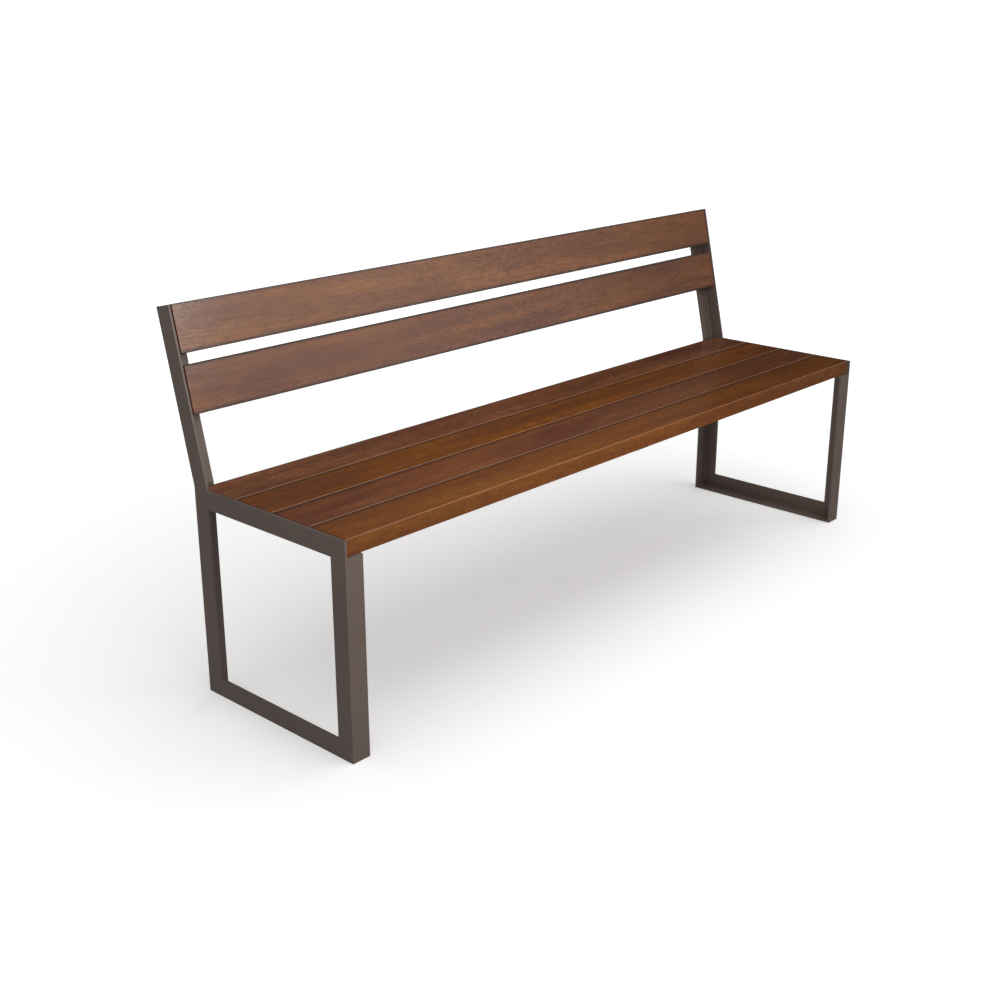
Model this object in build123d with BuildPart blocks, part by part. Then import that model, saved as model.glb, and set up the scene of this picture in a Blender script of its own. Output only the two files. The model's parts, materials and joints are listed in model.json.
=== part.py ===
from build123d import *

import os
from math import atan, cos, degrees, radians, sin

# Street bench with a reclined two-slat back. Two end frames, each welded up from five lengths
# of steel angle, carry four seat slats and two back slats of hardwood on their inward flanges,
# so that the wood lies flush with the edges of the upright webs.
#
# Millimetres, +Z up, +X along the bench, +Y towards the back. The origin is on the floor, in
# the middle of the overall length and the overall depth.

# Overall sizes
overall_length = 1800  # between the outer faces of the end frames
overall_height = 810  # floor to the highest corner of the back
frame_depth = 447  # front of the front leg to the rear of the rear leg
seat_height = 452  # floor to the top edge of the seat rail
back_lean = 13  # degrees that the back leans from upright

# Steel angle of the end frames
web_depth = 40  # in the plane of the frame
flange_width = 43  # turned inwards, along the bench
angle_wall = 5
root_radius = 2.5  # fillet inside the angle
toe_radius = 2  # rounded inner corner of each toe
heel_radius = 1  # eased outer corners

# Slats
slat_thickness = 35
slat_edge_radius = 2  # eased long edges
slat_end_chamfer = 1
slat_end_clearance = 0.5  # between a slat's end and the root fillet of the angle
front_slat_width = 94
seat_slat_count = 4
seat_slat_gap = 6
seat_rear_gap = 13  # between the rear slat and the rear flange
back_slat_width = 97
back_slat_gap = 23.5

# Flat bar that ties the seat slats together at mid-span
batten_width = 40
batten_thickness = 5
batten_inset = 10  # from the outer edges of the seat slats to the ends of the bar

# Coach screws and washers, driven through the flanges from outside
screw_radius = 3
screw_length = 30  # under the head
screw_tip_length = 4
screw_tip_radius = 0.7
screw_edge_distance = 30  # from a slat's long edge to its nearer screw
head_across_flats = 10
head_height = 4
head_chamfer = 0.6
washer_radius = 6
washer_thickness = 1.6
washer_clearance = 0.2  # around the shank
flange_clearance = 0.5  # around the shank, in the steel
pilot_clearance = 0.05  # around the shank, in the wood
pilot_end_clearance = 2  # beyond the tip of the screw

# Anchor holes in the base rails
anchor_hole_radius = 6
anchor_spacing = 300  # along a base rail

# Derived places
lean = radians(back_lean)
upright_length = (overall_height - seat_height - web_depth * sin(lean)) / cos(lean)
overall_depth = frame_depth + upright_length * sin(lean)
left_x = -overall_length / 2
front_y = -overall_depth / 2
rear_y = front_y + frame_depth
rail_bottom = seat_height - web_depth
slat_length = overall_length - 2 * (angle_wall + root_radius + slat_end_clearance)
screw_x = overall_length / 2 - (angle_wall + flange_width) / 2

# The slats share the depth between the front flange and the rear flange
seat_depth = frame_depth - 2 * angle_wall - seat_rear_gap
seat_slat_width = (seat_depth - front_slat_width) / (seat_slat_count - 1) - seat_slat_gap
seat_widths = [front_slat_width] + [seat_slat_width] * (seat_slat_count - 1)
seat_starts = [angle_wall + sum(seat_widths[:i]) + i * seat_slat_gap for i in range(seat_slat_count)]
upper_start = upright_length - back_slat_width
back_starts = [upper_start - back_slat_gap - back_slat_width, upper_start]

# Directions in the leaning back: up along it, and forward out of it
up_back = Vector(0, sin(lean), cos(lean))
forward = Vector(0, -cos(lean), sin(lean))

# Faces that the slats lie on, with X along the bench, Y across the slats and Z into the wood
kink = Vector(0, rear_y, seat_height)
seat_face = Plane((0, front_y, rail_bottom + angle_wall))
back_face = Plane(kink + forward * angle_wall, x_dir=(1, 0, 0), z_dir=forward)

# Mitre planes of the end frames: front and rear corner at the floor, and the kink of the back
front_mitre = Plane((0, front_y, 0), z_dir=(0, 1, -1))
rear_mitre = Plane((0, rear_y, 0), z_dir=(0, -1, -1))
kink_mitre = Plane(kink, z_dir=(0, sin(lean / 2), cos(lean / 2)))


def screw_points(start, width, columns):
    """Two screws across a slat in each column, as points on the face that it lies on."""
    rows = [start + screw_edge_distance, start + width - screw_edge_distance]
    return [(x, y) for x in columns for y in rows]


end_columns = [-screw_x, screw_x]
seat_end_points = []
batten_points = []
for start, width in zip(seat_starts, seat_widths):
    seat_end_points += screw_points(start, width, end_columns)
    batten_points += screw_points(start, width, [0])
back_end_points = []
for start in back_starts:
    back_end_points += screw_points(start, back_slat_width, end_columns)
left_seat_points = [point for point in seat_end_points if point[0] < 0]
left_back_points = [point for point in back_end_points if point[0] < 0]


# Outline of the steel angle: the heel at the origin, the web along X and the flange along Y
with BuildSketch() as angle_outline:
    with BuildLine():
        Polyline(
            (0, 0),
            (web_depth, 0),
            (web_depth, angle_wall),
            (angle_wall, angle_wall),
            (angle_wall, flange_width),
            (0, flange_width),
            close=True,
        )
    make_face()
    heel, root, *toes = angle_outline.vertices().sort_by_distance((0, 0, 0))
    inner_toes = [toe for toe in toes if toe.X == angle_wall or toe.Y == angle_wall]
    outer_toes = [toe for toe in toes if toe not in inner_toes]
    fillet(root, radius=root_radius)
    fillet(inner_toes, radius=toe_radius)
    fillet([heel, *outer_toes], radius=heel_radius)


# ---- Left end frame ----

# Base rail: upright web on the outside, flange flat on the floor, mitred at both ends
with BuildPart() as left_base_rail:
    with BuildSketch(Plane((left_x, front_y, 0), x_dir=(0, 0, 1), z_dir=(0, 1, 0))):
        add(angle_outline.sketch)
    extrude(amount=frame_depth)
    split(bisect_by=front_mitre, keep=Keep.TOP)
    split(bisect_by=rear_mitre, keep=Keep.TOP)
    with BuildSketch(Plane((-screw_x, front_y + frame_depth / 2, 0))):
        with GridLocations(1, anchor_spacing, 1, 2):
            Circle(anchor_hole_radius)
    extrude(amount=angle_wall, mode=Mode.SUBTRACT)
left_base_rail.part.label = "left_base_rail"

# Front leg: flange across the front, mitred below, butted under the seat rail above
with BuildPart() as left_front_leg:
    with BuildSketch(Plane((left_x, front_y, 0), x_dir=(0, 1, 0), z_dir=(0, 0, -1))):
        add(angle_outline.sketch)
    extrude(amount=-rail_bottom)
    split(bisect_by=front_mitre, keep=Keep.BOTTOM)
left_front_leg.part.label = "left_front_leg"

# Rear leg: flange across the rear, mitred at the floor and at the kink
with BuildPart() as left_rear_leg:
    with BuildSketch(Plane((left_x, rear_y, 0), x_dir=(0, -1, 0), z_dir=(0, 0, 1))):
        add(angle_outline.sketch)
    extrude(amount=seat_height + web_depth)
    split(bisect_by=rear_mitre, keep=Keep.BOTTOM)
    split(bisect_by=kink_mitre, keep=Keep.BOTTOM)
left_rear_leg.part.label = "left_rear_leg"

# Seat rail: flange below, under the slats. Its web stops at the rear leg's web, and its flange
# runs on inside the rear leg as far as that leg's root fillet.
with BuildPart() as left_seat_rail:
    with BuildSketch(Plane((left_x, front_y, rail_bottom), x_dir=(0, 0, 1), z_dir=(0, 1, 0))):
        add(angle_outline.sketch)
    extrude(amount=frame_depth - angle_wall - root_radius)
    with BuildSketch(Plane((left_x, rear_y - web_depth, rail_bottom))):
        Rectangle(angle_wall, web_depth, align=Align.MIN)
    extrude(amount=web_depth, mode=Mode.SUBTRACT)
    with BuildSketch(Plane((left_x, rear_y - web_depth, rail_bottom + angle_wall))):
        Rectangle(flange_width, web_depth, align=Align.MIN)
    extrude(amount=web_depth, mode=Mode.SUBTRACT)
    with BuildSketch(seat_face):
        with Locations(*left_seat_points):
            Circle(screw_radius + flange_clearance)
    extrude(amount=-angle_wall, mode=Mode.SUBTRACT)
left_seat_rail.part.label = "left_seat_rail"

# Back upright: leans from the kink, with its flange at the rear and a square-cut top
with BuildPart() as left_back_upright:
    foot = Plane(kink + Vector(left_x, 0, 0) - up_back * web_depth, x_dir=forward, z_dir=up_back)
    with BuildSketch(foot):
        add(angle_outline.sketch)
    extrude(amount=web_depth + upright_length)
    split(bisect_by=kink_mitre, keep=Keep.TOP)
    with BuildSketch(back_face):
        with Locations(*left_back_points):
            Circle(screw_radius + flange_clearance)
    extrude(amount=-angle_wall, mode=Mode.SUBTRACT)
left_back_upright.part.label = "left_back_upright"


# ---- Slats ----


def slat(label, face, start, width, points):
    """A board with eased edges that lies on a face, with a blind pilot hole at each point."""
    reach = screw_length - washer_thickness - angle_wall
    with BuildPart() as board:
        with BuildSketch(face):
            with Locations((0, start + width / 2)):
                Rectangle(slat_length, width)
        extrude(amount=slat_thickness)
        fillet(board.edges().filter_by(Axis.X), radius=slat_edge_radius)
        chamfer(board.faces().filter_by(Axis.X).edges(), length=slat_end_chamfer)
        with BuildSketch(face):
            with Locations(*points):
                Circle(screw_radius + pilot_clearance)
        extrude(amount=reach + pilot_end_clearance, mode=Mode.SUBTRACT)
    board.part.label = label
    return board


seat_slat_names = ["seat_slat_front", "seat_slat_second", "seat_slat_third", "seat_slat_rear"]
seat_slats = []
for label, start, width in zip(seat_slat_names, seat_starts, seat_widths):
    points = screw_points(start, width, [-screw_x, 0, screw_x])
    seat_slats.append(slat(label, seat_face, start, width, points))

back_slats = []
for label, start in zip(["back_slat_lower", "back_slat_upper"], back_starts):
    points = screw_points(start, back_slat_width, end_columns)
    back_slats.append(slat(label, back_face, start, back_slat_width, points))

# Seat batten: flat bar across the underside of the seat slats at mid-span
with BuildPart() as seat_batten:
    batten_length = seat_depth - 2 * batten_inset
    with BuildSketch(seat_face):
        with Locations((0, angle_wall + seat_depth / 2)):
            RectangleRounded(batten_width, batten_length, heel_radius)
        with Locations(*batten_points):
            Circle(screw_radius + flange_clearance, mode=Mode.SUBTRACT)
    extrude(amount=-batten_thickness)
seat_batten.part.label = "seat_batten"


# ---- Fasteners ----


def washers(label, under, points):
    """Flat washers that lie under a plane, which is the outer face of the steel."""
    with BuildPart() as group:
        with BuildSketch(under):
            with Locations(*points):
                Circle(washer_radius)
                Circle(screw_radius + washer_clearance, mode=Mode.SUBTRACT)
        extrude(amount=-washer_thickness)
    group.part.label = label
    return group


def coach_screws(label, under, points):
    """Hexagon-head screws whose heads lie under a plane, which is the face of the washers."""
    shank_length = screw_length - screw_tip_length
    tip_taper = degrees(atan((screw_radius - screw_tip_radius) / screw_tip_length))
    with BuildPart() as group:
        with BuildSketch(under):
            with Locations(*points):
                RegularPolygon(head_across_flats / 2, 6, major_radius=False)
        extrude(amount=-head_height)
        outer_faces = group.faces().group_by(Axis(under.origin, under.z_dir))[0]
        chamfer(outer_faces.edges(), length=head_chamfer)
        with BuildSketch(under):
            with Locations(*points):
                Circle(screw_radius)
        extrude(amount=shank_length)
        with BuildSketch(under.offset(shank_length)):
            with Locations(*points):
                Circle(screw_radius)
        extrude(amount=screw_tip_length, taper=tip_taper)
    group.part.label = label
    return group


seat_under = seat_face.offset(-angle_wall)
back_under = back_face.offset(-angle_wall)
batten_under = seat_face.offset(-batten_thickness)
left_fasteners = [
    washers("left_seat_washers", seat_under, left_seat_points),
    coach_screws("left_seat_screws", seat_under.offset(-washer_thickness), left_seat_points),
    washers("left_back_washers", back_under, left_back_points),
    coach_screws("left_back_screws", back_under.offset(-washer_thickness), left_back_points),
]
batten_fasteners = [
    washers("batten_washers", batten_under, batten_points),
    coach_screws("batten_screws", batten_under.offset(-washer_thickness), batten_points),
]


# ---- Right end frame: the left one, with its fasteners, mirrored ----

left_frame = [left_base_rail, left_front_leg, left_rear_leg, left_seat_rail, left_back_upright]
right_side = []
for left_piece in left_frame + left_fasteners:
    with BuildPart() as right_piece:
        mirror(left_piece.part, about=Plane.YZ)
    right_piece.part.label = left_piece.part.label.replace("left", "right")
    right_side.append(right_piece)

os.makedirs("parts", exist_ok=True)
for piece in left_frame + left_fasteners + right_side + seat_slats + back_slats + batten_fasteners:
    export_step(piece.part, f"parts/{piece.part.label}.step")
export_step(seat_batten.part, "parts/seat_batten.step")
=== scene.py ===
import json
from collections import namedtuple
from math import cos, pi, radians, sin

import bpy
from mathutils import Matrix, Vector

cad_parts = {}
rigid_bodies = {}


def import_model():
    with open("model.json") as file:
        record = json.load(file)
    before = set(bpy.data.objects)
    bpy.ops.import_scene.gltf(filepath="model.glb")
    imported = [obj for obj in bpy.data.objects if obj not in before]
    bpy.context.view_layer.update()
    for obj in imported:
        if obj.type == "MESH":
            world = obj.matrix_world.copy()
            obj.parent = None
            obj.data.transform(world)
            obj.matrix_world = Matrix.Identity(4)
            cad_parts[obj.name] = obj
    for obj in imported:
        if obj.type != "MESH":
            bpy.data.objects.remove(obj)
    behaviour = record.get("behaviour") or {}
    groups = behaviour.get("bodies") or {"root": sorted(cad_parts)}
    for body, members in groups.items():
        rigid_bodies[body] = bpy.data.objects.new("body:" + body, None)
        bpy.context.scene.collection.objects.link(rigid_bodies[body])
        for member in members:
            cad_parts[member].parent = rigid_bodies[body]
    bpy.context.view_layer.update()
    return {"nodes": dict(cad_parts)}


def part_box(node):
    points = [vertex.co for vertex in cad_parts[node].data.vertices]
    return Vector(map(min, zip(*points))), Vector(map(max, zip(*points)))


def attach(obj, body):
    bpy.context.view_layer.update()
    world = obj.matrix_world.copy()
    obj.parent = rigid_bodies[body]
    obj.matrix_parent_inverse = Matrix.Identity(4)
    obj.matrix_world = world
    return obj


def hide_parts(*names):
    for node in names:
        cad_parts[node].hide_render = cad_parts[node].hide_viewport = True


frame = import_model()

# Slatted street bench, in metres: hardwood boards on two welded frames of angle steel.
# +X runs along the bench, +Y towards its back and +Z up.

# Sizes that the boards, welds and fasteners share with the frame
LEAN = radians(13)  # of the back
ANGLE_WALL = 0.005
BOARD_THICKNESS = 0.035
BACK_BOARD_WIDTH = 0.097
ARRIS_RADIUS = 0.002
END_RADIUS = 0.0012
SCREW_INSET = 0.030  # from a board's long edge
WELD_RADIUS = 0.0026
WELD_ROOT_GAP = 0.001  # from the web
WELD_TOE_GAP = 0.002  # from the flange's free edge

UP_BACK = Vector((0, sin(LEAN), cos(LEAN)))
FORWARD = Vector((0, -cos(LEAN), sin(LEAN)))


# ---------------------------------------------------------------- node trees


class Tree:
    """A node tree under construction: add() makes a node and wires or sets its inputs."""

    def __init__(self, tree):
        self.tree = tree

    def add(self, kind, inputs=None, **settings):
        node = self.tree.nodes.new(kind)
        for name, value in settings.items():
            setattr(node, name, value)
        for key, value in (inputs or {}).items():
            self.feed(node.inputs[key], value)
        return node

    def feed(self, socket, value):
        if isinstance(value, bpy.types.NodeSocket):
            self.tree.links.new(value, socket)
        else:
            socket.default_value = value

    def feed_enabled(self, node, values):
        """Fills a node's enabled inputs in order and returns its first enabled output."""
        for socket, value in zip([s for s in node.inputs if s.enabled], values):
            self.feed(socket, value)
        return next(s for s in node.outputs if s.enabled)

    def math(self, operation, *values, clamp=False):
        return self.feed_enabled(self.add("ShaderNodeMath", operation=operation, use_clamp=clamp), values)

    def vector(self, operation, *values):
        return self.feed_enabled(self.add("ShaderNodeVectorMath", operation=operation), values)

    def split(self, vector):
        return self.add("ShaderNodeSeparateXYZ", {"Vector": vector}).outputs

    def join(self, x=0.0, y=0.0, z=0.0):
        return self.add("ShaderNodeCombineXYZ", {"X": x, "Y": y, "Z": z}).outputs[0]

    def ranged(self, value, low, high, to_low=0.0, to_high=1.0, kind="SMOOTHSTEP"):
        inputs = {"Value": value, "From Min": low, "From Max": high, "To Min": to_low, "To Max": to_high}
        return self.add("ShaderNodeMapRange", inputs, interpolation_type=kind).outputs[0]

    def mix(self, factor, a, b, blend="MIX"):
        node = self.add("ShaderNodeMix", data_type="RGBA", blend_type=blend)
        colors = [s for s in node.inputs if s.type == "RGBA"]
        self.feed(node.inputs["Factor"], factor)
        self.feed(colors[0], a)
        self.feed(colors[1], b)
        return next(s for s in node.outputs if s.type == "RGBA")


def new_group(name, kind, inputs, outputs):
    """An empty node group with named sockets: its Tree, its input sockets by name and its output node."""
    group = bpy.data.node_groups.new(name, kind)
    for socket_name, (socket_type, default) in inputs.items():
        socket = group.interface.new_socket(socket_name, in_out="INPUT", socket_type=socket_type)
        if default is not None:
            socket.default_value = default
    for socket_name, socket_type in outputs.items():
        group.interface.new_socket(socket_name, in_out="OUTPUT", socket_type=socket_type)
    tree = Tree(group)
    return tree, tree.add("NodeGroupInput").outputs, tree.add("NodeGroupOutput")


FLOAT, INT, VECTOR = "NodeSocketFloat", "NodeSocketInt", "NodeSocketVector"
GEOMETRY, MATERIAL = "NodeSocketGeometry", "NodeSocketMaterial"


# ---------------------------------------------------------------- shared shader effects


def timber_figure_group():
    """Figure of a board whose grain runs along X, in metres measured from the tree's pith."""
    inputs = {"Vector": (VECTOR, None), "Ring Spacing": (FLOAT, 0.006), "Sway": (FLOAT, 0.012)}
    outputs = {name: FLOAT for name in ("Rings", "Streaks", "Flame", "Ribbon", "Fibres", "Pores")}
    t, given, out = new_group("timber_figure", "ShaderNodeTree", inputs, outputs)

    def grain_noise(along, across, detail, roughness=0.55, vector=given["Vector"]):
        scaled = t.vector("MULTIPLY", vector, (along, across, across))
        noise = {"Vector": scaled, "Scale": 1.0, "Detail": detail, "Roughness": roughness}
        return t.add("ShaderNodeTexNoise", noise)

    # the trunk sways along its length, so that the rings cut the board's faces in long arches
    sway = t.vector("SUBTRACT", grain_noise(1.3, 5.0, 2.0).outputs["Color"], (0.5, 0.5, 0.5))
    sway = t.vector("MULTIPLY", sway, t.join(0.0, given["Sway"], given["Sway"]))
    swayed = t.vector("ADD", given["Vector"], sway)
    parts = t.split(swayed)
    radius = t.vector("LENGTH", t.join(0.0, parts["Y"], parts["Z"]))
    ring = t.math("FRACT", t.math("DIVIDE", radius, given["Ring Spacing"]))
    early = t.ranged(ring, 0.0, 0.72)
    late = t.ranged(ring, 0.86, 1.0)
    t.feed(out.inputs["Rings"], t.math("SUBTRACT", early, late, clamp=True))

    streaks = grain_noise(1.9, 26.0, 3.0, 0.55, swayed).outputs["Fac"]
    t.feed(out.inputs["Streaks"], t.ranged(streaks, 0.36, 0.64, kind="LINEAR"))
    flame = grain_noise(3.6, 17.0, 2.0, 0.5).outputs["Fac"]
    t.feed(out.inputs["Flame"], t.ranged(flame, 0.50, 0.68))
    ribbon = grain_noise(34.0, 95.0, 3.0, 0.65, swayed).outputs["Fac"]
    t.feed(out.inputs["Ribbon"], t.ranged(ribbon, 0.36, 0.64, kind="LINEAR"))
    fibres = grain_noise(9.0, 620.0, 2.0).outputs["Fac"]
    t.feed(out.inputs["Fibres"], t.ranged(fibres, 0.28, 0.72))
    pores = grain_noise(75.0, 1500.0, 0.0).outputs["Fac"]
    t.feed(out.inputs["Pores"], t.ranged(pores, 0.64, 0.72))
    return t.tree


def mottle_group():
    """Slow and fine unevenness of a finish: Cloud changes over hands' breadths, Grit over millimetres."""
    inputs = {"Vector": (VECTOR, None), "Cloud Scale": (FLOAT, 6.0), "Grit Scale": (FLOAT, 900.0)}
    t, given, out = new_group("mottle", "ShaderNodeTree", inputs, {"Cloud": FLOAT, "Grit": FLOAT})
    cloud = {"Vector": given["Vector"], "Scale": given["Cloud Scale"], "Detail": 4.0, "Roughness": 0.6}
    grit = {"Vector": given["Vector"], "Scale": given["Grit Scale"], "Detail": 1.0}
    cloudy = t.add("ShaderNodeTexNoise", cloud).outputs["Fac"]
    gritty = t.add("ShaderNodeTexNoise", grit).outputs["Fac"]
    t.feed(out.inputs["Cloud"], t.ranged(cloudy, 0.3, 0.7, kind="LINEAR"))
    t.feed(out.inputs["Grit"], t.ranged(gritty, 0.25, 0.75, kind="LINEAR"))
    return t.tree


TIMBER_FIGURE = timber_figure_group()
MOTTLE = mottle_group()


# ---------------------------------------------------------------- materials


def new_material(name):
    """A node material with an empty Principled shader: its Tree, the shader and Object coordinates."""
    material = bpy.data.materials.new(name)
    material.use_nodes = True
    material.node_tree.nodes.clear()
    t = Tree(material.node_tree)
    shader = t.add("ShaderNodeBsdfPrincipled")
    surface = t.add("ShaderNodeOutputMaterial")
    t.tree.links.new(shader.outputs["BSDF"], surface.inputs["Surface"])
    place = t.add("ShaderNodeTexCoord").outputs["Object"]
    return material, t, shader, place


def use_group(t, group, **inputs):
    node = t.add("ShaderNodeGroup", node_tree=group)
    for name, value in inputs.items():
        t.feed(node.inputs[name.replace("_", " ")], value)
    return node.outputs


# Tints that run through every board
RED_CLOUD = (0.116, 0.030, 0.005, 1)
PURPLE_FLAME = (0.068, 0.018, 0.013, 1)
BROWN_RIBBON = (0.058, 0.016, 0.005, 1)
LATE_WOOD = (0.058, 0.016, 0.006, 1)
PALE_FIBRE = (0.160, 0.060, 0.010, 1)
DARK_PORE = (0.022, 0.008, 0.003, 1)
# painted highlight for the seat's arrises, and painted shade for the back's
ARRIS_HIGHLIGHT = (0.190, 0.066, 0.012, 1)
SHADED_ARRIS = (0.030, 0.011, 0.006, 1)
# painted shade for the gaps between boards and the lines along their edges
PAINTED_SHADE = (0.024, 0.008, 0.002, 1)

# The painted shade line on a board's face: its width from the board's edge, how softly it starts, how much
# wider the lower line of a back board is, and where it fades out down the board's side
LINE_WIDTH = 0.0065
LINE_SOFTNESS = 0.0030
LOWER_LINE_EXTRA = 0.0010
LINE_FADE_START = 0.0015
LINE_FADE_END = 0.0035


def edge_lines(t, place, centre, across, outward, reach, both):
    """A thin line of painted shade on a board's face along its rear edge, or along both long edges."""
    from_centre = t.vector("SUBTRACT", place, tuple(centre))
    from_middle = t.vector("DOT_PRODUCT", from_centre, tuple(across))
    if both:
        from_middle = t.math("ABSOLUTE", t.math("SUBTRACT", from_middle, LOWER_LINE_EXTRA))
    line_start = reach - LINE_WIDTH
    near_edge = t.ranged(from_middle, line_start, line_start + LINE_SOFTNESS)
    up = t.vector("DOT_PRODUCT", from_centre, tuple(outward))
    face = BOARD_THICKNESS / 2
    on_face = t.ranged(up, face - LINE_FADE_END, face - LINE_FADE_START)
    return t.math("MULTIPLY", near_edge, on_face)


def hardwood(name, cut, edges, leaning):
    """Oiled hardwood for one board, cut from its own part of the tree at its own slight slope.

    The seat's arrises carry a painted highlight, and those of the back, which leans, carry painted shade;
    painted shade also darkens the gaps between boards and thin lines along their edges."""
    material, t, shader, place = new_material(name)
    mapping = {"Vector": place, "Location": cut.pith, "Rotation": cut.slope}
    board = t.add("ShaderNodeMapping", mapping).outputs[0]
    figure = use_group(t, TIMBER_FIGURE, Vector=board, Ring_Spacing=0.0065, Sway=0.030)
    finish = use_group(t, MOTTLE, Vector=board, Cloud_Scale=3.2, Grit_Scale=700.0)
    arris = t.add("ShaderNodeAttribute", attribute_name="arris").outputs["Fac"]
    side = t.add("ShaderNodeAttribute", attribute_name="side").outputs["Fac"]
    lines = edge_lines(t, place, *edges, both=leaning)
    # painted shade: the narrow sides in the gaps between seat boards, and thin lines along the boards'
    # edges
    painted_shade = t.math("MAXIMUM", t.ranged(side, 0.80, 0.98), t.math("MULTIPLY", lines, 0.85))

    # mask, strength and tint of each layer, from the wood outwards
    layers = [
        (finish["Cloud"], 0.50, RED_CLOUD),
        (figure["Flame"], cut.flames, PURPLE_FLAME),
        (figure["Ribbon"], 0.50, BROWN_RIBBON),
        (figure["Rings"], 0.22, LATE_WOOD),
        (figure["Fibres"], 0.16, PALE_FIBRE),
        (figure["Pores"], 0.35, DARK_PORE),
        # painted highlight on the seat's arrises, painted shade on the back's
        (arris, 0.80, SHADED_ARRIS) if leaning else (arris, 0.60, ARRIS_HIGHLIGHT),
        # painted shade in the gaps and along the edges
        (painted_shade, 0.90, PAINTED_SHADE),
    ]
    tone = t.mix(figure["Streaks"], (*cut.dark, 1), (*cut.light, 1))
    for mask, strength, tint in layers:
        tone = t.mix(t.math("MULTIPLY", mask, strength), tone, tint)
    t.feed(shader.inputs["Base Color"], tone)

    rough = t.ranged(figure["Fibres"], 0.0, 1.0, 0.17, 0.24, "LINEAR")
    rough = t.math("ADD", rough, t.math("MULTIPLY", finish["Grit"], 0.07))
    rough = t.math("ADD", rough, t.math("MULTIPLY", t.math("MAXIMUM", arris, side), 0.50))
    t.feed(shader.inputs["Roughness"], rough)
    shader.inputs["IOR"].default_value = 1.50
    height = t.math("SUBTRACT", t.math("MULTIPLY", figure["Fibres"], 0.35), figure["Pores"])
    bump = {"Height": height, "Strength": 0.35, "Distance": 0.0004}
    t.feed(shader.inputs["Normal"], t.add("ShaderNodeBump", bump).outputs[0])
    return material


def powder_coat():
    """Dark bronze powder coat with the faint orange peel of a baked finish."""
    material, t, shader, place = new_material("bronze_powder_coat")
    finish = use_group(t, MOTTLE, Vector=place, Cloud_Scale=5.0, Grit_Scale=420.0)
    tone = t.mix(finish["Cloud"], (0.078, 0.055, 0.044, 1), (0.094, 0.067, 0.054, 1))
    speckled = t.mix(t.math("MULTIPLY", finish["Grit"], 0.25), tone, (0.056, 0.041, 0.034, 1))
    t.feed(shader.inputs["Base Color"], speckled)
    t.feed(shader.inputs["Roughness"], t.ranged(finish["Grit"], 0.0, 1.0, 0.50, 0.62, "LINEAR"))
    shader.inputs["IOR"].default_value = 1.45
    bump = {"Height": finish["Grit"], "Strength": 0.18, "Distance": 0.0003}
    t.feed(shader.inputs["Normal"], t.add("ShaderNodeBump", bump).outputs[0])
    return material


def stainless():
    """Drawn stainless steel of the screws and washers."""
    material, t, shader, place = new_material("stainless_steel")
    finish = use_group(t, MOTTLE, Vector=place, Cloud_Scale=90.0, Grit_Scale=2600.0)
    tone = t.mix(finish["Cloud"], (0.46, 0.45, 0.43, 1), (0.62, 0.61, 0.58, 1))
    t.feed(shader.inputs["Base Color"], tone)
    shader.inputs["Metallic"].default_value = 1.0
    t.feed(shader.inputs["Roughness"], t.ranged(finish["Grit"], 0.0, 1.0, 0.26, 0.44, "LINEAR"))
    bump = {"Height": finish["Grit"], "Strength": 0.12, "Distance": 0.0001}
    t.feed(shader.inputs["Normal"], t.add("ShaderNodeBump", bump).outputs[0])
    return material


def studio_floor():
    """Pale matt floor with painted light: a faint glow of its own, weaker near the bench and stronger away
    from it.
    """
    material, t, shader, place = new_material("studio_floor")
    finish = use_group(t, MOTTLE, Vector=place, Cloud_Scale=0.8, Grit_Scale=300.0)
    tone = t.mix(finish["Cloud"], (0.945, 0.945, 0.945, 1), (0.955, 0.955, 0.955, 1))
    t.feed(shader.inputs["Base Color"], tone)
    shader.inputs["Roughness"].default_value = 1.0
    shader.inputs["Specular IOR Level"].default_value = 0.0
    away = t.vector("LENGTH", place)
    # painted light: the floor glows, less near the bench and more away from it
    t.feed(shader.inputs["Emission Color"], t.ranged(away, 0.9, 3.2, 0.255, 0.45))
    shader.inputs["Emission Strength"].default_value = 1.0
    return material


# ---------------------------------------------------------------- geometry trees


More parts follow.
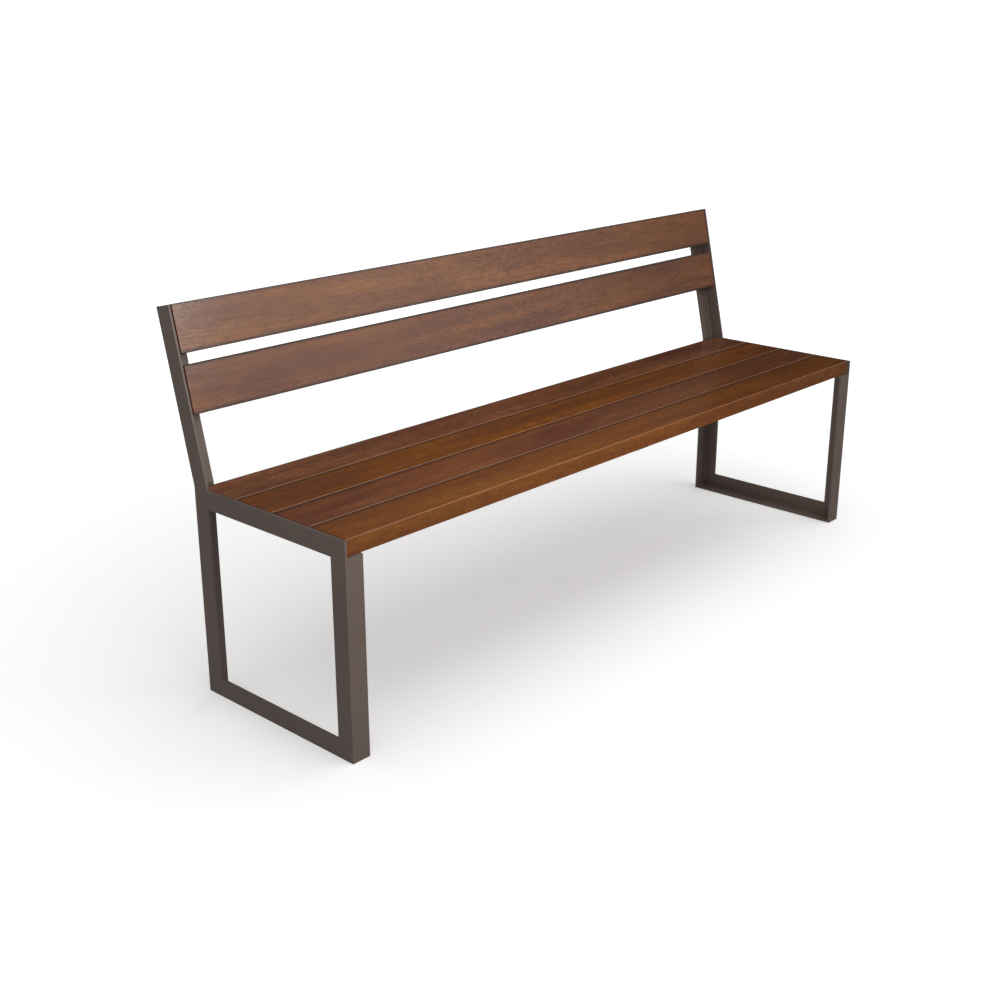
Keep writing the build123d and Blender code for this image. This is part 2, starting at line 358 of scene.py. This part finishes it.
def eased_board_tree():
    """A board along X with rounded arrises and softly rounded ends, placed and leant in the bench.

    The point attribute "arris" is 1 along the middle of each rounded long edge. The attribute "side"
    is as strong as Front Shade and Rear Shade on the narrow long sides, and marks where painted shade
    darkens the gaps between boards."""
    inputs = {
        "Length": (FLOAT, 1.0), "Width": (FLOAT, 0.1), "Thickness": (FLOAT, 0.035),
        "Arris Radius": (FLOAT, 0.003), "End Radius": (FLOAT, 0.001), "Rings": (INT, 61),
        "Front Shade": (FLOAT, 1.0), "Rear Shade": (FLOAT, 1.0), "Centre": (VECTOR, None),
        "Lean": (FLOAT, 0.0), "Material": (MATERIAL, None),
    }
    t, given, out = new_group("eased_board", "GeometryNodeTree", inputs, {"Geometry": GEOMETRY})
    profile_size = {"Width": given["Width"], "Height": given["Thickness"]}
    profile = t.add("GeometryNodeCurvePrimitiveQuadrilateral", profile_size).outputs[0]
    fillet = {"Curve": profile, "Count": 6, "Radius": given["Arris Radius"]}
    profile = t.add("GeometryNodeFilletCurve", fillet, mode="POLY").outputs[0]
    half_length = t.math("MULTIPLY", given["Length"], 0.5)
    line = {"Start": t.join(t.math("MULTIPLY", half_length, -1.0)), "End": t.join(half_length)}
    rail = t.add("GeometryNodeCurvePrimitiveLine", line).outputs[0]
    rail = t.add("GeometryNodeResampleCurve", {"Curve": rail, "Count": given["Rings"]}).outputs[0]
    swept = {"Curve": rail, "Profile Curve": profile, "Fill Caps": True}
    board = t.add("GeometryNodeCurveToMesh", swept).outputs[0]

    # the last rings at each end close in on a quarter circle of the end radius
    place = t.add("GeometryNodeInputPosition").outputs[0]
    along, across, up = t.split(place)
    end_rings = 3
    spacing = t.math("DIVIDE", given["Length"], t.math("SUBTRACT", given["Rings"], 1))
    from_end = t.math("SUBTRACT", half_length, t.math("ABSOLUTE", along))
    share = t.math("DIVIDE", from_end, t.math("MULTIPLY", spacing, end_rings), clamp=True)
    turn = t.math("MULTIPLY", share, pi / 2)
    back_off = t.math("MULTIPLY", given["End Radius"], t.math("SUBTRACT", 1.0, t.math("COSINE", turn)))
    inset = t.math("MULTIPLY", given["End Radius"], t.math("SUBTRACT", 1.0, t.math("SINE", turn)))
    end_x = t.math("MULTIPLY", t.math("SIGN", along), t.math("SUBTRACT", half_length, back_off))
    normal = t.split(t.add("GeometryNodeInputNormal").outputs[0])
    inward = t.vector("NORMALIZE", t.join(0.0, normal["Y"], normal["Z"]))
    inward = t.vector("SCALE", inward, t.math("MULTIPLY", inset, -1.0))
    closed_in = t.vector("ADD", t.join(end_x, across, up), inward)
    in_end = t.math("LESS_THAN", share, 0.999)
    at_last = t.math("COMPARE", from_end, t.math("MULTIPLY", spacing, end_rings), 0.0001)
    moved = {"Geometry": board, "Selection": t.math("MAXIMUM", in_end, at_last), "Position": closed_in}
    board = t.add("GeometryNodeSetPosition", moved).outputs[0]

    # how far each point lies beyond a flat's edge, as a share of the arris radius
    def beyond_flat(distance, size):
        flat = t.math("SUBTRACT", t.math("MULTIPLY", size, 0.5), given["Arris Radius"])
        past = t.math("SUBTRACT", t.math("ABSOLUTE", distance), flat)
        return t.math("DIVIDE", past, given["Arris Radius"])

    to_side = beyond_flat(across, given["Width"])
    both = t.math("MINIMUM", to_side, beyond_flat(up, given["Thickness"]))
    # painted shade goes on the long sides that face a neighbouring board across a gap
    on_front = t.math("MULTIPLY", t.math("LESS_THAN", across, 0.0), given["Front Shade"])
    on_rear = t.math("MULTIPLY", t.math("GREATER_THAN", across, 0.0), given["Rear Shade"])
    shaded = t.math("ADD", on_front, on_rear)
    # the middle of an arris lies 0.707 of its radius beyond both flats, and 1.42 brings that to 1
    marks = {
        "arris": t.math("MULTIPLY", both, 1.42, clamp=True),
        "side": t.math("MULTIPLY", to_side, shaded, clamp=True),
    }
    for mark, value in marks.items():
        stored = {"Geometry": board, "Name": mark, "Value": value}
        store = t.add("GeometryNodeStoreNamedAttribute", stored, data_type="FLOAT", domain="POINT")
        board = store.outputs[0]
    board = t.add("GeometryNodeSetShadeSmooth", {"Geometry": board}).outputs[0]
    spot = {"Geometry": board, "Translation": given["Centre"], "Rotation": t.join(given["Lean"])}
    board = t.add("GeometryNodeTransform", spot).outputs[0]
    board = t.add("GeometryNodeRealizeInstances", {"Geometry": board}).outputs[0]
    painted = {"Geometry": board, "Material": given["Material"]}
    t.feed(out.inputs[0], t.add("GeometryNodeSetMaterial", painted).outputs[0])
    return t.tree


def fastener_tree():
    """A washer and a hexagon-head coach screw at each point of a mesh, driven along its Z."""
    inputs = {
        "Geometry": (GEOMETRY, None), "Head Radius": (FLOAT, 0.00577), "Head Height": (FLOAT, 0.004),
        "Washer Radius": (FLOAT, 0.006), "Washer Thickness": (FLOAT, 0.0016),
        "Shank Radius": (FLOAT, 0.003), "Length": (FLOAT, 0.030), "Thread Pitch": (FLOAT, 0.0026),
        "Tilt": (FLOAT, 0.0), "Seed": (INT, 1), "Material": (MATERIAL, None),
    }
    t, given, out = new_group("coach_screws", "GeometryNodeTree", inputs, {"Geometry": GEOMETRY})
    parts = []

    def raised(solid, height):
        lift = {"Geometry": solid, "Translation": t.join(z=height)}
        return t.add("GeometryNodeTransform", lift).outputs[0]

    def cylinder(radius, depth, middle, sides):
        size = {"Vertices": sides, "Radius": radius, "Depth": depth}
        return raised(t.add("GeometryNodeMeshCylinder", size).outputs[0], middle)

    def cone(low_radius, high_radius, depth, start, sides):
        size = {"Vertices": sides, "Radius Top": high_radius, "Radius Bottom": low_radius, "Depth": depth}
        return raised(t.add("GeometryNodeMeshCone", size).outputs[0], start)

    # z is 0 where the washer meets the steel, and the screw points up
    washer_half = t.math("MULTIPLY", given["Washer Thickness"], -0.5)
    parts.append(cylinder(given["Washer Radius"], given["Washer Thickness"], washer_half, 32))
    crown = t.math("MULTIPLY", given["Head Height"], 0.22)
    body = t.math("SUBTRACT", given["Head Height"], crown)
    seat = t.math("MULTIPLY", given["Washer Thickness"], -1.0)
    middle = t.math("SUBTRACT", seat, t.math("MULTIPLY", body, 0.5))
    parts.append(cylinder(given["Head Radius"], body, middle, 6))
    crown_radius = t.math("MULTIPLY", given["Head Radius"], 0.82)
    crown_start = t.math("SUBTRACT", seat, given["Head Height"])
    parts.append(cone(crown_radius, given["Head Radius"], crown, crown_start, 6))
    core = t.math("MULTIPLY", given["Shank Radius"], 0.80)
    tip = t.math("MULTIPLY", given["Length"], 0.14)
    core_length = t.math("SUBTRACT", given["Length"], tip)
    core_middle = t.math("ADD", seat, t.math("MULTIPLY", core_length, 0.5))
    parts.append(cylinder(core, core_length, core_middle, 16))
    parts.append(cone(core, 0.0004, tip, t.math("ADD", seat, core_length), 16))
    neck = 0.009  # of plain core between the head and the thread
    thread_height = t.math("SUBTRACT", core_length, neck)
    turns = t.math("DIVIDE", thread_height, given["Thread Pitch"])
    ridge = {
        "Resolution": 14, "Rotations": turns, "Start Radius": core, "End Radius": core,
        "Height": thread_height,
    }
    helix = t.add("GeometryNodeCurveSpiral", ridge).outputs[0]
    edge = t.math("SUBTRACT", given["Shank Radius"], core)
    section = t.add("GeometryNodeCurvePrimitiveCircle", {"Resolution": 4, "Radius": edge}).outputs[0]
    thread = {"Curve": helix, "Profile Curve": section, "Fill Caps": True}
    thread = t.add("GeometryNodeCurveToMesh", thread).outputs[0]
    parts.append(raised(thread, t.math("ADD", seat, neck)))

    screw = t.add("GeometryNodeJoinGeometry")
    for part in parts:
        t.tree.links.new(part, screw.inputs[0])
    spin = t.add("FunctionNodeRandomValue", {"Seed": given["Seed"]}, data_type="FLOAT")
    angle = t.feed_enabled(spin, (0.0, pi / 3))
    placed = {"Points": given["Geometry"], "Instance": screw.outputs[0], "Rotation": t.join(given["Tilt"])}
    rows = t.add("GeometryNodeInstanceOnPoints", placed).outputs[0]
    spun = {"Instances": rows, "Rotation": t.join(z=angle), "Local Space": True}
    rows = t.add("GeometryNodeRotateInstances", spun).outputs[0]
    rows = t.add("GeometryNodeRealizeInstances", {"Geometry": rows}).outputs[0]
    painted = {"Geometry": rows, "Material": given["Material"]}
    t.feed(out.inputs[0], t.add("GeometryNodeSetMaterial", painted).outputs[0])
    return t.tree


def weld_bead_tree():
    """Overlapping ripples of weld metal along the edges of a mesh."""
    inputs = {
        "Geometry": (GEOMETRY, None), "Bead Radius": (FLOAT, 0.0025), "Ripple Pitch": (FLOAT, 0.0016),
        "Unevenness": (FLOAT, 0.12), "Seed": (INT, 3), "Material": (MATERIAL, None),
    }
    t, given, out = new_group("weld_bead", "GeometryNodeTree", inputs, {"Geometry": GEOMETRY})
    path = t.add("GeometryNodeMeshToCurve", {"Mesh": given["Geometry"]}).outputs[0]
    steps = {"Curve": path, "Length": given["Ripple Pitch"]}
    points = t.add("GeometryNodeCurveToPoints", steps, mode="LENGTH")
    # each ripple is a ball, flattened along the seam
    drop = {"Subdivisions": 2, "Radius": given["Bead Radius"]}
    drop = t.add("GeometryNodeMeshIcoSphere", drop).outputs[0]
    drop = t.add("GeometryNodeTransform", {"Geometry": drop, "Scale": (1.0, 1.0, 0.62)}).outputs[0]
    low = t.math("SUBTRACT", 1.0, given["Unevenness"])
    size = t.add("FunctionNodeRandomValue", {"Seed": given["Seed"]}, data_type="FLOAT")
    placed = {
        "Points": points.outputs["Points"], "Instance": drop, "Rotation": points.outputs["Rotation"],
        "Scale": t.feed_enabled(size, (low,)),
    }
    bead = t.add("GeometryNodeInstanceOnPoints", placed).outputs[0]
    bead = t.add("GeometryNodeRealizeInstances", {"Geometry": bead}).outputs[0]
    bead = t.add("GeometryNodeSetShadeSmooth", {"Geometry": bead}).outputs[0]
    painted = {"Geometry": bead, "Material": given["Material"]}
    t.feed(out.inputs[0], t.add("GeometryNodeSetMaterial", painted).outputs[0])
    return t.tree


# ---------------------------------------------------------------- pieces


def settle(piece):
    """Turns what a piece's modifiers make into its own plain mesh and removes them."""
    bpy.context.view_layer.update()
    evaluated = piece.evaluated_get(bpy.context.evaluated_depsgraph_get())
    mesh = bpy.data.meshes.new_from_object(evaluated)
    mesh.name = piece.name
    piece.modifiers.clear()
    piece.data = mesh
    return piece


def grow(name, tree, points=(), edges=(), **inputs):
    """A piece made by a geometry tree from points and edges in the bench's frame."""
    mesh = bpy.data.meshes.new(name)
    mesh.from_pydata(points, edges, [])
    piece = bpy.data.objects.new(name, mesh)
    bpy.context.scene.collection.objects.link(piece)
    modifier = piece.modifiers.new(tree.name, "NODES")
    modifier.node_group = tree
    for item in tree.interface.items_tree:
        key = item.name.replace(" ", "_")
        if item.in_out == "INPUT" and key in inputs:
            modifier[item.identifier] = inputs[key]
    return piece


# Where in the tree a board is cut: place of the pith, slope of the grain, darkest and lightest tone,
# strength of the dark flames
Cut = namedtuple("Cut", "pith slope dark light flames")

SEAT_CUTS = {
    "seat_slat_front": Cut(
        pith=(0.3, 0.29, -0.33), slope=(0, 0.020, 0.030),
        dark=(0.104, 0.030, 0.003), light=(0.172, 0.061, 0.006), flames=0.30,
    ),
    "seat_slat_second": Cut(
        pith=(-1.4, 0.12, -0.36), slope=(0, 0.030, -0.035),
        dark=(0.080, 0.028, 0.020), light=(0.172, 0.058, 0.022), flames=0.75,
    ),
    "seat_slat_third": Cut(
        pith=(2.1, 0.05, -0.35), slope=(0, -0.024, 0.028),
        dark=(0.104, 0.030, 0.003), light=(0.214, 0.068, 0.004), flames=0.50,
    ),
    "seat_slat_rear": Cut(
        pith=(-3.2, -0.06, -0.37), slope=(0, -0.018, -0.026),
        dark=(0.116, 0.043, 0.028), light=(0.224, 0.082, 0.034), flames=0.65,
    ),
}
BACK_CUTS = {
    "back_slat_lower": Cut(
        pith=(4.4, -0.08, -0.58), slope=(0, 0.022, 0.018),
        dark=(0.086, 0.028, 0.012), light=(0.176, 0.060, 0.015), flames=0.75,
    ),
    "back_slat_upper": Cut(
        pith=(-5.7, -0.12, -0.70), slope=(0, -0.016, 0.022),
        dark=(0.100, 0.034, 0.012), light=(0.190, 0.070, 0.018), flames=0.55,
    ),
}


def board_layout(node, leaning):
    """A board's centre, its directions across its width and out of its face, and its width."""
    low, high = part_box(node)
    centre = (low + high) / 2
    if leaning:
        return centre, UP_BACK, FORWARD, BACK_BOARD_WIDTH
    return centre, Vector((0, 1, 0)), Vector((0, 0, 1)), high.y - low.y


def add_board(tree, node, cut, leaning):
    low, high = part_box(node)
    centre, across, outward, width = board_layout(node, leaning)
    edges = centre, across, outward, width / 2
    board = grow(
        node.replace("slat", "board"), tree,
        Length=high.x - low.x,
        Width=width,
        Thickness=BOARD_THICKNESS,
        Arris_Radius=ARRIS_RADIUS,
        End_Radius=END_RADIUS,
        Centre=centre,
        Lean=pi / 2 - LEAN if leaning else 0.0,
        # painted shade on the long sides that face a neighbouring seat board
        Front_Shade=0.0 if leaning or node == "seat_slat_front" else 1.0,
        Rear_Shade=0.0 if leaning or node == "seat_slat_rear" else 1.0,
        Material=hardwood(node + "_wood", cut, edges, leaning),
    )
    settle(board)
    weigh = board.modifiers.new("flat_faces", "WEIGHTED_NORMAL")
    weigh.mode = "FACE_AREA"
    weigh.keep_sharp = True
    settle(board)
    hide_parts(node)
    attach(board, "root")


def screw_rows(node, leaning):
    """The two rows of screws under a board, as places on the steel's outer face at x = 0."""
    centre, across, outward, width = board_layout(node, leaning)
    reach = width / 2 - SCREW_INSET
    face = centre - outward * (BOARD_THICKNESS / 2 + ANGLE_WALL)
    face.x = 0
    return [face - across * reach, face + across * reach]


def add_fasteners(tree, steel):
    """Screws and washers: under the seat, behind the back and under the mid-span bar."""
    washers_low, washers_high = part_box("left_seat_washers")
    left = (washers_low.x + washers_high.x) / 2
    groups = [
        ("left_seat", SEAT_CUTS, left), ("right_seat", SEAT_CUTS, -left),
        ("left_back", BACK_CUTS, left), ("right_back", BACK_CUTS, -left),
        ("batten", SEAT_CUTS, 0.0),
    ]
    for seed, (group, boards, x) in enumerate(groups):
        leaning = boards is BACK_CUTS
        rows = [place for board in boards for place in screw_rows(board, leaning)]
        places = [place + Vector((x, 0, 0)) for place in rows]
        screws = grow(
            group + "_fasteners", tree, places,
            Tilt=pi / 2 - LEAN if leaning else 0.0, Seed=seed, Material=steel,
        )
        settle(screws)
        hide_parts(group + "_screws", group + "_washers")
        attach(screws, "root")


def add_welds(tree, coat):
    """Weld beads in the inner corners of each end frame, painted with the frame."""
    for side, name in ((-1, "left"), (1, "right")):
        base_low, base_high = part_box(name + "_base_rail")
        rail_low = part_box(name + "_seat_rail")[0]
        outer = max(abs(base_low.x), abs(base_high.x))
        inner = min(abs(base_low.x), abs(base_high.x))
        root = outer - ANGLE_WALL - WELD_ROOT_GAP
        toe = inner + WELD_TOE_GAP
        front, rear = base_low.y + ANGLE_WALL, base_high.y - ANGLE_WALL
        floor_top = base_low.z + ANGLE_WALL
        under = rail_low.z
        points, edges = [], []
        for y, z in ((front, floor_top), (rear, floor_top), (front, under), (rear, under)):
            edges.append((len(points), len(points) + 1))
            points += [(side * root, y, z), (side * toe, y, z)]
        bead = grow(name + "_weld_beads", tree, points, edges, Bead_Radius=WELD_RADIUS,
                    Seed=side + 2, Material=coat)
        settle(bead)
        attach(bead, "root")


def paint_steel(coat):
    """Gives the frame's own steel pieces their coat."""
    steel = [side + part for side in ("left_", "right_")
             for part in ("base_rail", "front_leg", "rear_leg", "seat_rail", "back_upright")]
    for name in steel + ["seat_batten"]:
        for slot in frame["nodes"][name].material_slots:
            slot.material = coat


# ---------------------------------------------------------------- studio


FLOOR_GAP = 0.0002  # under the steel, so that no two faces share a plane


def add_floor():
    mesh = bpy.data.meshes.new("studio_floor")
    reach = 60.0
    corners = [(-reach, -reach, 0), (reach, -reach, 0), (reach, reach, 0), (-reach, reach, 0)]
    mesh.from_pydata(corners, [], [(0, 1, 2, 3)])
    mesh.materials.append(studio_floor())
    floor = bpy.data.objects.new("studio_floor", mesh)
    bpy.context.scene.collection.objects.link(floor)
    floor.location.z = -FLOOR_GAP
    floor.visible_glossy = False


def add_sun(name, towards_light, strength, spread):
    """A very soft distant light: strength 1 lights a white surface that faces it to full white."""
    light = bpy.data.lights.new(name, "SUN")
    light.energy = strength * pi
    light.angle = radians(spread)
    lamp = bpy.data.objects.new(name, light)
    lamp.rotation_euler = Vector(towards_light).to_track_quat("Z", "Y").to_euler()
    bpy.context.scene.collection.objects.link(lamp)


def add_key(place, aim, size, power):
    """Square softbox over the bench that leaves the floor alone."""
    light = bpy.data.lights.new("key_softbox", "AREA")
    light.size = size
    light.energy = power
    lamp = bpy.data.objects.new("key_softbox", light)
    lamp.location = place
    lamp.rotation_euler = (Vector(place) - Vector(aim)).to_track_quat("Z", "Y").to_euler()
    bpy.context.scene.collection.objects.link(lamp)
    lit = bpy.data.collections.new("lit_by_key")
    for piece in bpy.context.scene.objects:
        if piece.type == "MESH" and piece.name != "studio_floor":
            lit.objects.link(piece)
    lamp.light_linking.receiver_collection = lit
    lamp.visible_camera = False


def add_world():
    """White backdrop; what it lights sees a room that is dim behind the bench and brighter before it."""
    world = bpy.data.worlds.new("studio")
    world.use_nodes = True
    world.node_tree.nodes.clear()
    t = Tree(world.node_tree)
    seen = t.add("ShaderNodeLightPath").outputs["Is Camera Ray"]
    direction = t.add("ShaderNodeTexCoord").outputs["Generated"]
    behind = t.vector("DOT_PRODUCT", direction, (0.97, 0.20, 0.14))
    room = t.ranged(behind, -0.80, 0.95, 0.45, 0.006, "LINEAR")
    # upright softbox at the front right, from its left edge to its sharper right edge
    left_edge = t.ranged(t.vector("DOT_PRODUCT", direction, (0.98, 0.21, 0.0)), 0.30, 0.55)
    right_edge = t.ranged(t.vector("DOT_PRODUCT", direction, (-0.64, -0.77, 0.0)), -0.04, 0.06)
    height = t.split(direction)["Z"]
    ends = t.math("MULTIPLY", t.ranged(height, -0.15, -0.03), t.ranged(height, 0.62, 0.45))
    panel = t.math("MULTIPLY", t.math("MULTIPLY", left_edge, right_edge), ends)
    lit = t.math("ADD", room, t.math("MULTIPLY", panel, 1.85))
    brightness = t.math("MAXIMUM", lit, seen)
    backdrop = t.add("ShaderNodeBackground", {"Color": (1, 1, 1, 1), "Strength": brightness})
    surface = t.add("ShaderNodeOutputWorld")
    t.tree.links.new(backdrop.outputs[0], surface.inputs["Surface"])
    bpy.context.scene.world = world


def add_camera():
    """Eye level in front of the left end, looking down across the seat."""
    lens = bpy.data.cameras.new("camera")
    lens.lens = 49.87
    lens.sensor_width = 36.0
    camera = bpy.data.objects.new("camera", lens)
    heading, dip = radians(-47.49), radians(19.70)
    camera.rotation_euler = (pi / 2 - dip, 0, heading)
    camera.location = (-2.4051, -2.0192, 1.3528)
    bpy.context.scene.collection.objects.link(camera)
    bpy.context.scene.camera = camera


coat = powder_coat()
paint_steel(coat)
board_tree = eased_board_tree()
for node, cut in SEAT_CUTS.items():
    add_board(board_tree, node, cut, leaning=False)
for node, cut in BACK_CUTS.items():
    add_board(board_tree, node, cut, leaning=True)
add_fasteners(fastener_tree(), stainless())
add_welds(weld_bead_tree(), coat)

add_floor()
add_world()
add_sun("overhead_softbox", (0.20, -0.44, 0.88), 0.66, 104)
add_key((-0.34, -1.02, 1.26), (-0.20, 0.0, 0.38), 0.8, 17)
add_camera()
bpy.context.scene.view_settings.view_transform = "Standard"
